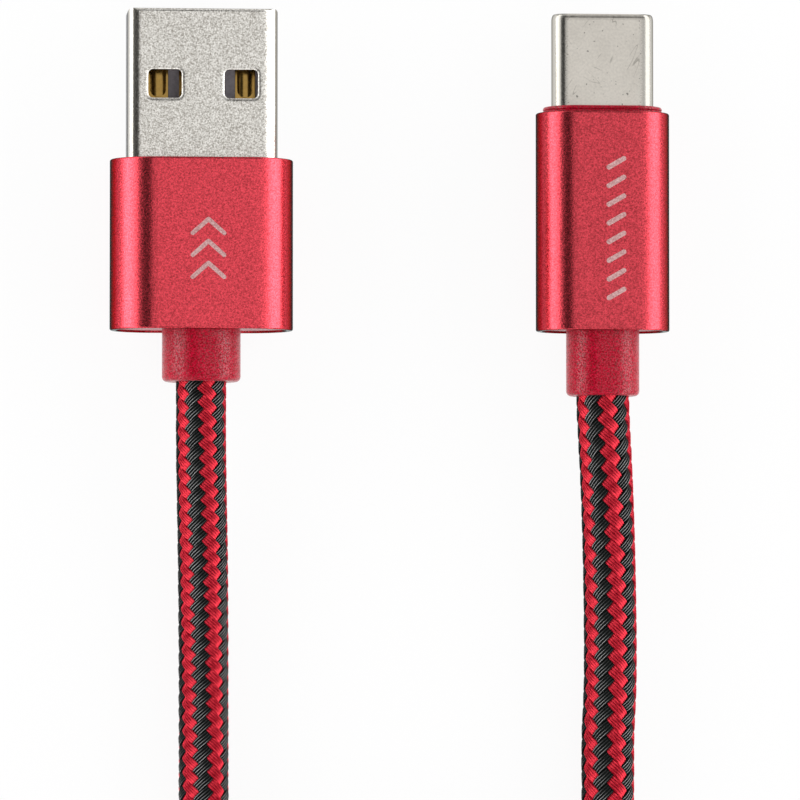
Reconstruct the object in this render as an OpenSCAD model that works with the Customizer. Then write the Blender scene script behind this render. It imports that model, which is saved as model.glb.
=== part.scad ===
// Charging cable, USB-A to USB-C, with aluminium plug housings and a braided cord.
// Millimetres. It lies flat: +Z is up, +X runs from the USB-A plug to the USB-C plug,
// and both plug tips point along +Y.

/* [Layout] */
// Distance between the axes of the two plugs
plug_spacing = 32.4; // [28:0.1:40]

/* [USB-A plug] */
// Width of the shell
a_shell_width = 12; // [11.6:0.1:12.4]
// Height of the shell
a_shell_height = 4.5; // [4.3:0.1:4.8]
// Thickness of the shell's sheet
a_sheet = 0.3; // [0.2:0.05:0.4]
// Outside radius of the shell's long corners
a_shell_corner = 0.85; // [0.5:0.05:1]
// Length of shell that stands out of the housing
a_shell_exposed = 12; // [11:0.25:14]
// Length of shell held inside the housing
a_shell_held = 6.75; // [6:0.25:8]
// Width of each window in the shell
window_width = 2.7; // [2:0.1:3]
// Length of each window along the plug
window_length = 2.3; // [1.6:0.1:2.6]
// Distance from the tip to the windows
window_from_tip = 4.9; // [4:0.1:5.6]
// Distance between the centres of the two windows
window_spacing = 6.1; // [5:0.1:7]
// Width of each contact
a_contact_width = 1.6; // [1:0.1:1.9]
// Thickness of each contact
a_contact_sheet = 0.2; // [0.15:0.05:0.3]
// Height of the contact's crowned rib above its plate
rib_height = 0.18; // [0.1:0.02:0.3]
// How far the housing reaches out past each side of the shell
a_housing_side = 1.35; // [1.25:0.05:2.5]
// How far the housing reaches out above and below the shell
a_housing_above = 1.45; // [1.25:0.05:2.25]
// Length of the housing
a_housing_length = 13.7; // [13:0.1:24]
// Width of the neck that the cord comes out of
a_neck_width = 6.3; // [5.4:0.1:6.8]
// Length of the neck behind the housing
a_neck_length = 4.1; // [2:0.1:10]

/* [USB-C plug] */
// Width of the shell
c_shell_width = 8.25; // [8.1:0.05:8.4]
// Height of the shell
c_shell_height = 2.4; // [2.3:0.05:2.55]
// Thickness of the shell's wall
c_sheet = 0.2; // [0.15:0.05:0.25]
// Length of the rounded lip at the shell's mouth
c_lip_length = 0.5; // [0.3:0.05:0.8]
// Length of shell that stands out of the collar
c_shell_exposed = 7.5; // [6.6:0.1:9]
// Length of shell held inside the housing
c_shell_held = 4; // [3.5:0.25:6]
// Depth of the slot that takes the socket's tongue
c_slot_depth = 5.9; // [5:0.1:6.5]
// Height of the slot
c_slot_height = 0.95; // [0.8:0.05:1.1]
// Width of each contact
c_contact_width = 0.25; // [0.2:0.05:0.3]
// Distance from one contact place to the next
c_pitch = 0.5; // [0.45:0.01:0.52]
// Thickness of the circuit board
board_thickness = 0.6; // [0.4:0.1:0.8]
// Length of the circuit board
board_length = 7; // [6:0.5:9]
// Length of the soft collar in front of the housing
collar_length = 0.5; // [0.3:0.05:1]
// How far the housing reaches out past each side of the shell
c_housing_side = 1.275; // [0.975:0.025:2.1]
// How far the housing reaches out above and below the shell
c_housing_above = 2; // [1.9:0.05:2.8]
// Length of the housing
c_housing_length = 17.6; // [16:0.1:26]
// Width of the neck that the cord comes out of
c_neck_width = 5.9; // [5.2:0.1:6.4]
// Length of the neck behind the housing
c_neck_length = 5.2; // [2:0.1:10]

/* [Both housings] */
// Wall thickness of the aluminium
housing_wall = 0.5; // [0.4:0.05:0.6]
// Size of the broken edge at each end
edge_break = 0.15; // [0.05:0.05:0.25]
// How far the soft insert sits back from the open rear end
rear_recess = 0.15; // [0.1:0.05:2]
// Rounding of the neck's rear edge
neck_rounding = 0.4; // [0.1:0.05:0.5]

/* [Cord] */
// Diameter over the braid
cord_diameter = 4.1; // [3.8:0.1:4.3]
// Thickness of the braid
braid_thickness = 0.45; // [0.3:0.05:0.5]
// Diameter of each insulated wire
wire_diameter = 0.9; // [0.7:0.05:0.95]

/* [Coil] */
// Radius of the outermost loop, to the cord's centre
coil_radius = 28.5; // [27:0.5:36]
// Step from one loop to the next, centre to centre
coil_step = 4.7; // [4.6:0.1:6]
// Rise from the lower layer to the upper one
coil_rise = 4.6; // [4.6:0.1:6]
// Width of the tie that holds the coil
tie_width = 10; // [6:1:14]
// Thickness of the tie
tie_thickness = 0.6; // [0.4:0.1:1.2]

/* [Hidden] */
$fn = 64;

// Running clearance where pieces slide together, and overshoot of cuts
fit = 0.03;
over = 1;

// USB-A, measured back from the tip
a_shell_length = a_shell_exposed + a_shell_held;
a_inner_width = a_shell_width - 2 * a_sheet;
a_inner_height = a_shell_height - 2 * a_sheet;
a_inner_corner = max(a_shell_corner - a_sheet, 0.1);
a_lip = 0.25;
a_lead_in = 0.25;
a_corner_in_plan = 0.3;
a_floor = -a_inner_height / 2;
a_tongue_front = 0.35;
a_tongue_end = 8.65;
a_tongue_height = 1.95;
a_tongue_top = a_floor + a_tongue_height;
a_base_setback = 2.15;
a_base_end = a_shell_length - a_base_setback;
a_tail_length = 1.8;
a_tail_end = a_base_end + a_tail_length;
a_tail_shoulder = 0.2;
a_tail_width = a_contact_width - 2 * a_tail_shoulder;
a_power_front = 1.24;
a_data_front = 2.24;
a_outer_contact = 3.5;
a_inner_contact = 1;
rib_margin = 0.15;
rib_width = a_contact_width - 2 * rib_margin;
rib_front_gap = 0.8;
rib_end = 6.95;
rib_radius = (rib_width * rib_width / 4 + rib_height * rib_height) / (2 * rib_height);
window_corner = 0.4;
window_rim = 0.12;
window_rim_depth = 0.07;
seam_width = 0.06;
seam_depth = 0.12;
seam_tooth = 1.3;
seam_neck = 1.3;
seam_flare = 0.25;
seam_lock_front = 2.8;
seam_lock_pitch = 6.5;
a_solder_setback = 0.5;
a_solder_length = 1;
a_solder_front = a_base_end + a_solder_setback;
a_solder_end = a_solder_front + a_solder_length;
a_solder_radius = 0.6;
solder_rise = 0.15;
a_channel_side = 1.3;
a_channel_width = 2 * a_outer_contact + 2 * a_channel_side;
a_channel_height = 2.4;
a_wire_reach = 3.45;
a_jacket_front = a_shell_length + a_wire_reach;
a_jacket_grip = 1.4;
a_mould_end = a_jacket_front + a_jacket_grip;
a_housing_width = a_shell_width + 2 * a_housing_side;
a_housing_height = a_shell_height + 2 * a_housing_above;
a_housing_front = a_shell_exposed;
a_housing_end = a_housing_front + a_housing_length;
a_insert_recess = 0.2;
a_insert_front = a_housing_front + a_insert_recess;
a_insert_end = a_housing_end - rear_recess;
a_neck_end = a_housing_end + a_neck_length;
a_axis_height = a_housing_height / 2;
a_sleeve_width = a_housing_width - 2 * housing_wall;
a_sleeve_height = a_housing_height - 2 * housing_wall;
neck_inset = 0.2;
a_neck_height = min(a_neck_width, a_sleeve_height - neck_inset);

// USB-C, measured back from the tip
c_shell_length = c_shell_exposed + c_shell_held;
c_inner_width = c_shell_width - 2 * c_sheet;
c_inner_height = c_shell_height - 2 * c_sheet;
c_lip_draw = 0.22;
c_insulator_front = c_lip_length;
c_base_setback = 1.9;
c_insulator_end = c_shell_length - c_base_setback;
c_slot_end = c_insulator_front + c_slot_depth;
c_contact_places = 12;
c_contact_span = (c_contact_places - 1) * c_pitch + c_contact_width;
c_slot_wall = 0.675;
c_slot_margin = 0.1;
c_slot_width = max(c_inner_width - 2 * c_slot_wall, c_contact_span + 2 * c_slot_margin);
c_slot_corner = 0.3;
c_bridge_length = 0.8;
c_contact_sheet = 0.14;
c_contact_setback = 0.5;
c_contact_front = c_insulator_front + c_contact_setback;
c_contact_lift = 0.17;
c_contact_top = c_slot_height / 2 + c_contact_lift;
c_foot_length = 1.4;
c_contact_tail = c_insulator_end + c_foot_length;
c_web = 0.1;
c_bow_depth = 0.3;
c_bow_lengths = [0.5, 0.6, 0.4, 1.1, 0.8];
c_bow_rise = 0.25;
c_crank_lengths = [0.1, 0.25];
c_latch_sheet = 0.25;
c_latch_height = 0.7;
c_latch_gap = 0.075;
c_latch_hook = (c_slot_width - c_contact_span) / 2 - c_latch_gap;
c_latch_setback = 1.6;
c_latch_front = c_insulator_front + c_latch_setback;
c_hook_front = 0.8;
c_hook_back = 1.1;
c_hook_end = 1.6;
c_spring_sheet = 0.1;
c_spring_margin = 0.525;
c_spring_width = c_shell_width - c_shell_height - 2 * c_spring_margin;
c_spring_setback = 1.1;
c_spring_front = c_insulator_front + c_spring_setback;
c_spring_length = 2.2;
c_spring_slit = 0.3;
c_spring_rim = 0.5;
board_front = c_insulator_end;
board_end = board_front + board_length;
board_side = 0.725;
board_width = c_inner_width - 2 * board_side;
resistor_size = [1, 0.35, 0.5];
resistor_setback = 1.3;
c_pad_margin = 0.8;
c_pad_pitch = (board_width - 2 * c_pad_margin) / 3;
c_solder_setback = 1.2;
c_solder_length = 1.1;
c_solder_end = board_end - c_solder_setback;
c_solder_front = c_solder_end - c_solder_length;
c_solder_radius = 0.58;
c_channel_width = board_width + 2 * fit;
c_channel_gap = 0.15;
c_channel_height = board_thickness + 2 * (wire_diameter + c_channel_gap);
c_mould_side = 0.175;
c_mould_skin = 0.6;
c_mould_width = c_shell_width + 2 * c_mould_side;
c_mould_height = c_channel_height + 2 * c_mould_skin;
c_wire_reach = 2.6;
c_jacket_front = board_end + c_wire_reach;
c_jacket_grip = 1.2;
c_mould_end = c_jacket_front + c_jacket_grip;
c_housing_width = c_shell_width + 2 * c_housing_side;
c_housing_height = c_shell_height + 2 * c_housing_above;
c_insert_recess = 0.3;
c_housing_front = c_shell_exposed + collar_length;
c_housing_end = c_housing_front + c_housing_length;
c_insert_front = c_housing_front + c_insert_recess;
c_insert_end = c_housing_end - rear_recess;
c_neck_end = c_housing_end + c_neck_length;
c_axis_height = c_housing_height / 2;
c_sleeve_width = c_housing_width - 2 * housing_wall;
c_sleeve_height = c_housing_height - 2 * housing_wall;
c_neck_height = min(c_neck_width, c_sleeve_height - neck_inset);
collar_side_gap = 0.08;
collar_rounding = 0.2;
collar_groove = 0.06;

// Cord
cord_radius = cord_diameter / 2;
jacket_diameter = cord_diameter - 2 * braid_thickness;
wire_gap = 0.01;
bundle_gap = 0.1;
wire_circle = wire_diameter * sqrt(2) / 2 + wire_gap;
jacket_bore = 2 * (wire_circle + bundle_gap) + wire_diameter;

// Placing: the box of the two plugs is centred on the origin
tip_y = max(a_neck_end, c_neck_end) / 2;
a_x = -plug_spacing / 2 + (a_housing_width - c_housing_width) / 4;
c_x = a_x + plug_spacing;
a_rear_y = tip_y - a_neck_end;
c_rear_y = tip_y - c_neck_end;

// Route of the cord
join_y = -47;
coil_x = 0;
coil_y = -84;
a_join_x = -14.9;
c_join_x = 17.7;
coil_start_angle = 135;
coil_end_angle = 30;
coil_whole_turns = 7;
ring_angle = 15;
spiral_degrees = (coil_whole_turns * 360 + coil_end_angle - coil_start_angle - 180) / 2;
turn_degrees = 2 * spiral_degrees + 180;
coil_steps = round(turn_degrees / ring_angle);
table_z = cord_radius;
low_z = tie_thickness + cord_radius;
high_z = low_z + coil_rise;
tie_angle = 90;
tie_slack = 0.1;

// ---------------------------------------------------------------- shared forms

function bend_point(a, b, across, along) =
    [a[0] + across * (b[0] - a[0]), a[1] + across * (b[1] - a[1]), a[2] + along * (b[2] - a[2])];
function ease(t) = t * t * (3 - 2 * t);
function unit(v) = v / norm(v);

module plug_frame(x, height) {
    translate([x, tip_y, height]) rotate([90, 0, 0]) children();
}

module on_a() {
    plug_frame(a_x, a_axis_height) children();
}

module on_c() {
    plug_frame(c_x, c_axis_height) children();
}

module stadium2d(w, h) {
    if (w > h) {
        square([w - h, h], center = true);
        translate([(w - h) / 2, 0]) circle(d = h);
        translate([-(w - h) / 2, 0]) circle(d = h);
    } else {
        circle(d = h);
    }
}

module rounded2d(w, h, r) {
    square([w - 2 * r, h], center = true);
    square([w, h - 2 * r], center = true);
    for (x = [-1, 1], y = [-1, 1])
        translate([x * (w / 2 - r), y * (h / 2 - r)]) circle(r = r);
}

// A rectangle from 0 to l, with its two corners at 0 rounded
module tip2d(w, l, r) {
    translate([-w / 2, r]) square([w, l - r]);
    translate([-w / 2 + r, 0]) square([w - 2 * r, l]);
    for (x = [-1, 1])
        translate([x * (w / 2 - r), r]) circle(r = r);
}

// A profile of radius and length carried round an oblong
module oblong_turn(w, h, profile) {
    if (w > h) {
        reach = (w - h) / 2;
        for (side = [-1, 1])
            translate([side * reach, 0, 0]) rotate([0, 0, -90 * side])
                rotate_extrude(angle = 180) polygon(profile);
        rotate([90, 0, 90]) translate([0, 0, -reach]) linear_extrude(height = 2 * reach) {
            polygon(profile);
            mirror([1, 0]) polygon(profile);
        }
    } else {
        rotate_extrude() polygon(profile);
    }
}

module oblong(w, h, from, to) {
    translate([0, 0, from]) linear_extrude(height = to - from) stadium2d(w, h);
}

module block(w, from_y, to_y, from, to) {
    translate([-w / 2, from_y, from]) cube([w, to_y - from_y, to - from]);
}

function corner_arc(r, z, size, from, turn) =
    [for (i = [0:4]) [r + size * cos(from + turn * i), z + size * sin(from + turn * i)]];

// One closed skin of triangles swept along points, with square ends
module swept(points, d, sides, spin, up = [0, 0, 1]) {
    n = len(points);
    rings = [
        for (i = [0:n - 1])
            let (
                t = unit(points[min(i + 1, n - 1)] - points[max(i - 1, 0)]),
                u = unit(cross(t, up)),
                v = cross(u, t)
            )
            for (k = [0:sides - 1])
                points[i] + d / 2 * (cos(spin + 360 * k / sides) * u + sin(spin + 360 * k / sides) * v)
    ];
    skin = [
        for (i = [0:n - 2], k = [0:sides - 1])
            let (
                a = i * sides + k,
                b = i * sides + (k + 1) % sides
            )
            each [[a, b, a + sides], [b, b + sides, a + sides]]
    ];
    start = [for (k = [1:sides - 2]) [0, k + 1, k]];
    end = [for (k = [1:sides - 2]) [(n - 1) * sides, (n - 1) * sides + k, (n - 1) * sides + k + 1]];
    polyhedron(points = rings, faces = concat(skin, start, end), convexity = 10);
}

// ---------------------------------------------------------------- USB-A plug

module seam_stroke(from, to) {
    way = to - from;
    translate(from) rotate([0, 0, atan2(way[1], way[0])])
        translate([-seam_width / 2, -seam_width / 2]) square([norm(way) + seam_width, seam_width]);
}

module seam2d() {
    for (lock = [0, 1])
        translate([0, seam_lock_front + lock * seam_lock_pitch]) {
            seam_stroke([0, 0], [seam_tooth, -seam_flare]);
            seam_stroke([seam_tooth, -seam_flare], [seam_tooth, seam_neck + seam_flare]);
            seam_stroke([seam_tooth, seam_neck + seam_flare], [0, seam_neck]);
            seam_stroke([0, seam_neck], [0, seam_lock_pitch]);
        }
    seam_stroke([0, -over], [0, seam_lock_front]);
    seam_stroke([0, seam_lock_front + 2 * seam_lock_pitch], [0, a_shell_length + over]);
}

module usb_a_shell() {
    color("Silver") on_a() difference() {
        intersection() {
            linear_extrude(height = a_shell_length)
                rounded2d(a_shell_width, a_shell_height, a_shell_corner);
            translate([0, a_shell_height, 0]) rotate([90, 0, 0])
                linear_extrude(height = 2 * a_shell_height)
                tip2d(a_shell_width, a_shell_length, a_corner_in_plan);
            translate([-a_shell_width, 0, 0]) rotate([90, 0, 90])
                linear_extrude(height = 2 * a_shell_width)
                tip2d(a_shell_height, a_shell_length, a_lip);
        }
        translate([0, 0, -over]) linear_extrude(height = a_shell_length + 2 * over)
            rounded2d(a_inner_width, a_inner_height, a_inner_corner);
        // Windows with a pressed rim, above and below
        for (x = [-1, 1])
            translate([x * window_spacing / 2, 0, window_from_tip + window_length / 2])
                rotate([90, 0, 0]) {
                    translate([0, 0, -a_shell_height]) linear_extrude(height = 2 * a_shell_height)
                        rounded2d(window_width, window_length, window_corner);
                    for (side = [-1, 1])
                        translate([0, 0, side * (a_shell_height / 2 + over - window_rim_depth)])
                            linear_extrude(height = 2 * over, center = true)
                            rounded2d(
                                window_width + 2 * window_rim,
                                window_length + 2 * window_rim,
                                window_corner + window_rim
                            );
                }
        // Folded seam underneath, locked by two dovetails
        translate([0, seam_depth - a_shell_height / 2, 0]) rotate([90, 0, 0])
            linear_extrude(height = over) seam2d();
    }
}

module usb_a_insulator() {
    color("DimGray") on_a() difference() {
        intersection() {
            translate([0, 0, a_tongue_front]) linear_extrude(height = a_base_end - a_tongue_front)
                rounded2d(a_inner_width - 2 * fit, a_inner_height, a_inner_corner);
            union() {
                block(a_inner_width, a_floor, a_tongue_top, a_tongue_front, a_base_end);
                block(a_inner_width, a_floor, -a_floor - fit, a_tongue_end, a_base_end);
            }
        }
        // Lead-in at the front of the tongue
        translate([-a_shell_width / 2, a_tongue_top, a_tongue_front]) rotate([45, 0, 0])
            translate([0, -a_lead_in, -a_lead_in])
                cube([a_shell_width, 2 * a_lead_in, 2 * a_lead_in]);
        // Beds of the contacts, which run on through the base
        for (side = [-1, 1]) {
            translate([side * a_outer_contact, 0, 0]) contact_bed(a_power_front);
            translate([side * a_inner_contact, 0, 0]) contact_bed(a_data_front);
        }
    }
}

module contact_bed(front) {
    w = a_contact_width + 2 * fit;
    block(w, a_tongue_top - a_contact_sheet, a_tongue_top + over, front - fit, a_tongue_end);
    block(w, a_tongue_top - a_contact_sheet, a_tongue_top + fit, front, a_base_end + over);
}

module a_contact(x, front) {
    color("Gold") on_a() translate([x, 0, 0]) {
        block(a_contact_width, a_tongue_top - a_contact_sheet, a_tongue_top, front, a_tongue_end);
        block(a_tail_width, a_tongue_top - a_contact_sheet, a_tongue_top, a_tongue_end, a_tail_end);
        // Crowned rib that meets the socket's spring
        intersection() {
            translate([0, a_tongue_top + over, front + rib_front_gap]) rotate([90, 0, 0])
                linear_extrude(height = over + a_contact_sheet / 2)
                rib2d(rib_end - front - rib_front_gap);
            translate([0, a_tongue_top + rib_height - rib_radius, 0])
                cylinder(h = a_tongue_end, r = rib_radius);
        }
    }
}

module rib2d(l) {
    translate([-rib_width / 2, rib_width / 2]) square([rib_width, l - rib_width]);
    translate([0, rib_width / 2]) circle(d = rib_width);
    translate([0, l - rib_width / 2]) circle(d = rib_width);
}

module usb_a_contact_vbus() {
    a_contact(-a_outer_contact, a_power_front);
}

module usb_a_contact_data_minus() {
    a_contact(-a_inner_contact, a_data_front);
}

module usb_a_contact_data_plus() {
    a_contact(a_inner_contact, a_data_front);
}

module usb_a_contact_ground() {
    a_contact(a_outer_contact, a_power_front);
}

// A drop of solder that sits on a flat and ends square where the wire begins
module solder(x, y, r, from, to) {
    intersection() {
        translate([x, y + solder_rise, from]) cylinder(h = to - from, r = r);
        translate([x - r, y, from - over]) cube([2 * r, 2 * r, to - from + 2 * over]);
    }
}

module usb_a_solder_joints() {
    color("LightGray") on_a()
        for (x = [-a_outer_contact, -a_inner_contact, a_inner_contact, a_outer_contact])
            solder(x, a_tongue_top, a_solder_radius, a_solder_front, a_solder_end);
}

// A wire from its solder joint into the jacket, as far as the end of the neck
module wire(start, place, jacket_front, finish) {
    bed = [wire_circle * cos(place), wire_circle * sin(place), jacket_front];
    swept(
        [
            start, bend_point(start, bed, 0, 0.15), bend_point(start, bed, 0.2, 0.35),
            bend_point(start, bed, 0.8, 0.7), bend_point(start, bed, 1, 0.9),
            bed + [0, 0, over], [bed[0], bed[1], finish]
        ],
        wire_diameter, 8, 22.5, [0, 1, 0]
    );
}

module a_wire(x, place) {
    on_a() wire(
        [x, a_tongue_top + wire_diameter / 2, a_solder_end], place, a_jacket_front, a_neck_end
    );
}

module usb_a_wire_red() {
    color("Red") a_wire(-a_outer_contact, 225);
}

module usb_a_wire_white() {
    color("White") a_wire(-a_inner_contact, 135);
}

module usb_a_wire_green() {
    color("Green") a_wire(a_inner_contact, 45);
}

module usb_a_wire_black() {
    color("Black") a_wire(a_outer_contact, -45);
}

module usb_a_inner_mould() {
    color("Ivory") on_a() difference() {
        translate([0, 0, a_shell_length]) linear_extrude(height = a_mould_end - a_shell_length)
            rounded2d(a_shell_width, a_shell_height, a_shell_corner);
        block(
            a_channel_width, -a_channel_height / 2, a_channel_height / 2,
            a_shell_length - over, a_jacket_front
        );
        translate([0, 0, a_jacket_front - over])
            cylinder(h = a_mould_end - a_jacket_front + 2 * over, d = jacket_diameter);
    }
}

// The rear neck, from inside the sleeve, with its rear edge rounded
module neck(w, h, from, to) {
    r = h / 2;
    oblong_turn(w, h, concat(
        [[0, from], [r, from]],
        corner_arc(r - neck_rounding, to - neck_rounding, neck_rounding, 0, 22.5),
        [[0, to]]
    ));
}

module usb_a_strain_relief() {
    color("Crimson") on_a() difference() {
        union() {
            oblong(a_sleeve_width - 2 * fit, a_sleeve_height, a_insert_front, a_insert_end);
            neck(a_neck_width, a_neck_height, a_insert_end - over, a_neck_end);
        }
        translate([0, 0, a_insert_front - over])
            linear_extrude(height = a_mould_end - a_insert_front + over)
            rounded2d(a_shell_width + 2 * fit, a_shell_height, a_shell_corner);
        cylinder(h = a_neck_end + over, d = cord_diameter + 2 * fit);
    }
}

// An open sleeve with broken edges
module sleeve(w, h, from, to) {
    r = h / 2;
    difference() {
        oblong_turn(w, h, concat(
            [[0, from]],
            corner_arc(r - edge_break, from + edge_break, edge_break, -90, 22.5),
            corner_arc(r - edge_break, to - edge_break, edge_break, 0, 22.5),
            [[0, to]]
        ));
        oblong(w - 2 * housing_wall, h - 2 * housing_wall, from - over, to + over);
    }
}

module usb_a_housing() {
    color("Red") on_a()
        sleeve(a_housing_width, a_housing_height, a_housing_front, a_housing_end);
}

module pipe(outside, inside, from, to) {
    translate([0, 0, from]) difference() {
        cylinder(h = to - from, d = outside);
        translate([0, 0, -over]) cylinder(h = to - from + 2 * over, d = inside);
    }
}

module usb_a_braid_end() {
    color("DarkRed") on_a() pipe(cord_diameter, jacket_diameter, a_mould_end, a_neck_end);
}

module usb_a_jacket_end() {
    color("DimGray") on_a() pipe(jacket_diameter, jacket_bore, a_jacket_front, a_neck_end);
}

// ---------------------------------------------------------------- USB-C plug

module usb_c_shell() {
    r = c_shell_height / 2;
    lip = [
        for (i = [0:5])
            [r - c_lip_draw * (1 - sin(18 * i)), c_lip_length * (1 - cos(18 * i))]
    ];
    throat = [
        for (i = [5:-1:0])
            [
                r - c_sheet - c_lip_draw * (1 - sin(18 * i)),
                c_sheet / 2 + (c_lip_length - c_sheet / 2) * (1 - cos(18 * i))
            ]
    ];
    color("Silver") on_c() oblong_turn(c_shell_width, c_shell_height, concat(
        lip, [[r, c_shell_length], [r - c_sheet, c_shell_length]], throat
    ));
}

function c_contact_x(place) =
    (place - (c_contact_places + 1) / 2) * c_pitch;

module usb_c_insulator() {
    color("DimGray") on_c() difference() {
        oblong(c_inner_width - 2 * fit, c_inner_height, c_insulator_front, c_insulator_end);
        translate([0, 0, c_insulator_front - over]) linear_extrude(height = c_slot_depth + over)
            rounded2d(c_slot_width, c_slot_height, c_slot_corner);
        for (place = [1, 4, 5, 6, 7, 9, 12]) c_bed(place);
        mirror([0, 1, 0])
            for (place = [1, 4, 5, 9, 12]) c_bed(place);
        // Side channels of the latch
        for (side = [-1, 1])
            translate([side * (c_slot_width / 2 + c_latch_sheet / 2 - fit), 0, 0])
                block(
                    c_latch_sheet + 2 * fit, -c_latch_height / 2, c_latch_height / 2,
                    c_latch_front, c_insulator_end + over
                );
        block(
            c_slot_width, -c_latch_height / 2, c_latch_height / 2,
            c_insulator_end - c_bridge_length, c_insulator_end + over
        );
        // Shallow seats of the ground springs
        for (side = [-1, 1])
            translate([0, side * (c_inner_height / 2 - c_spring_sheet / 2 + over / 2), 0])
                block(
                    c_spring_width + 2 * fit, -(c_spring_sheet + over) / 2,
                    (c_spring_sheet + over) / 2, c_spring_front - fit,
                    c_spring_front + c_spring_length + fit
                );
    }
}

module c_bed(place) {
    translate([c_contact_x(place), 0, 0])
        block(
            c_contact_width + 2 * fit, c_web, c_contact_top, c_contact_front - fit,
            c_slot_end
        );
    translate([c_contact_x(place), 0, 0])
        block(
            c_contact_width + 2 * fit, c_contact_top - c_contact_sheet - fit, c_contact_top,
            c_contact_front, c_insulator_end + over
        );
}

// One sprung contact, seen from the side: a bowed tip, a straight run and a foot on the board
module c_contact(place) {
    bed = c_contact_top - c_contact_sheet;
    foot = board_thickness / 2;
    heights = [bed, bed - c_bow_depth, bed - c_bow_depth, bed - c_bow_depth + c_bow_rise, bed];
    bow = [
        for (i = 0, z = c_contact_front + c_bow_lengths[0]; i < 5;
            i = i + 1, z = z + (i < 5 ? c_bow_lengths[i] : 0))
            [heights[i], z]
    ];
    crank = c_insulator_end + c_crank_lengths[0];
    low = concat(
        [[bed, c_contact_front]], bow,
        [[bed, crank], [foot, crank + c_crank_lengths[1]], [foot, c_contact_tail]]
    );
    high = [for (i = [len(low) - 1:-1:0]) low[i] + [c_contact_sheet, 0]];
    translate([c_contact_x(place) - c_contact_width / 2, 0, 0]) rotate([90, 0, 90])
        linear_extrude(height = c_contact_width) polygon(concat(low, high));
}

module usb_c_contacts_upper() {
    color("Gold") on_c()
        for (place = [1, 4, 5, 6, 7, 9, 12]) c_contact(place);
}

module usb_c_contacts_lower() {
    color("Gold") on_c() mirror([0, 1, 0])
        for (place = [1, 4, 5, 9, 12]) c_contact(place);
}

module usb_c_latch() {
    half = c_slot_width / 2;
    color("LightSteelBlue") on_c() {
        for (side = [-1, 1])
            scale([side, 1, 1]) translate([half - fit, -c_latch_height / 2, 0])
                rotate([90, 0, 0]) mirror([0, 0, 1]) linear_extrude(height = c_latch_height)
                polygon([
                    [fit, c_latch_front + fit], [c_latch_sheet, c_latch_front + fit],
                    [c_latch_sheet, c_insulator_end], [fit, c_insulator_end],
                    [fit, c_latch_front + c_hook_end], [-c_latch_hook, c_latch_front + c_hook_back],
                    [-c_latch_hook, c_latch_front + c_hook_front]
                ]);
        block(
            c_slot_width, -c_latch_height / 2, c_latch_height / 2,
            c_insulator_end - c_latch_sheet, c_insulator_end
        );
    }
}

module usb_c_ground_springs() {
    color("Silver") on_c()
        for (side = [-1, 1])
            translate([0, side * (c_inner_height - c_spring_sheet) / 2, 0]) difference() {
                block(
                    c_spring_width, -c_spring_sheet / 2, c_spring_sheet / 2, c_spring_front,
                    c_spring_front + c_spring_length
                );
                for (x = [-1.5, -0.5, 0.5, 1.5])
                    translate([x * c_spring_width / 4, 0, 0])
                        block(
                            c_spring_slit, -over, over, c_spring_front + c_spring_rim,
                            c_spring_front + c_spring_length - c_spring_rim
                        );
            }
}

module usb_c_circuit_board() {
    color("DarkGreen") on_c()
        block(board_width, -board_thickness / 2, board_thickness / 2, board_front, board_end);
}

module usb_c_resistor() {
    color("Black") on_c()
        translate([-resistor_size[0] / 2, board_thickness / 2, c_solder_front - resistor_setback])
            cube(resistor_size);
}

module usb_c_solder_joints() {
    color("LightGray") on_c()
        for (place = [-1.5, -0.5, 0.5, 1.5])
            solder(
                place * c_pad_pitch, board_thickness / 2, c_solder_radius, c_solder_front, c_solder_end
            );
}

module c_wire(place, angle) {
    on_c() wire(
        [place * c_pad_pitch, board_thickness / 2 + wire_diameter / 2, c_solder_end],
        angle, c_jacket_front, c_neck_end
    );
}

module usb_c_wire_red() {
    color("Red") c_wire(-1.5, 225);
}

module usb_c_wire_white() {
    color("White") c_wire(-0.5, 135);
}

module usb_c_wire_green() {
    color("Green") c_wire(0.5, 45);
}

module usb_c_wire_black() {
    color("Black") c_wire(1.5, -45);
}

module usb_c_inner_mould() {
    color("Ivory") on_c() difference() {
        oblong(c_mould_width, c_mould_height, c_shell_length, c_mould_end);
        block(
            c_channel_width, -c_channel_height / 2, c_channel_height / 2,
            c_shell_length - over, c_jacket_front
        );
        translate([0, 0, c_jacket_front - over])
            cylinder(h = c_mould_end - c_jacket_front + 2 * over, d = jacket_diameter);
    }
}

module usb_c_strain_relief() {
    collar_height = c_sleeve_height - 2 * collar_side_gap;
    collar_width = c_sleeve_width - 2 * collar_side_gap;
    r = collar_height / 2;
    middle = c_shell_exposed + collar_length / 2 + collar_groove;
    color("Crimson") on_c() difference() {
        union() {
            // Collar with a rounded front edge and a fine parting groove
            oblong_turn(collar_width, collar_height, concat(
                [[0, c_shell_exposed]],
                corner_arc(
                    r - collar_rounding, c_shell_exposed + collar_rounding, collar_rounding, -90, 22.5
                ),
                [
                    [r, middle - collar_groove], [r - collar_groove, middle],
                    [r, middle + collar_groove], [r, c_housing_front + over],
                    [0, c_housing_front + over]
                ]
            ));
            oblong(c_sleeve_width - 2 * fit, c_sleeve_height, c_insert_front, c_insert_end);
            neck(c_neck_width, c_neck_height, c_insert_end - over, c_neck_end);
        }
        oblong(c_shell_width + 2 * fit, c_shell_height, c_shell_exposed - over, c_shell_length);
        oblong(c_mould_width + 2 * fit, c_mould_height, c_shell_length, c_mould_end);
        cylinder(h = c_neck_end + over, d = cord_diameter + 2 * fit);
    }
}

module usb_c_housing() {
    color("Red") on_c()
        sleeve(c_housing_width, c_housing_height, c_housing_front, c_housing_end);
}

module usb_c_braid_end() {
    color("DarkRed") on_c() pipe(cord_diameter, jacket_diameter, c_mould_end, c_neck_end);
}

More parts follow.
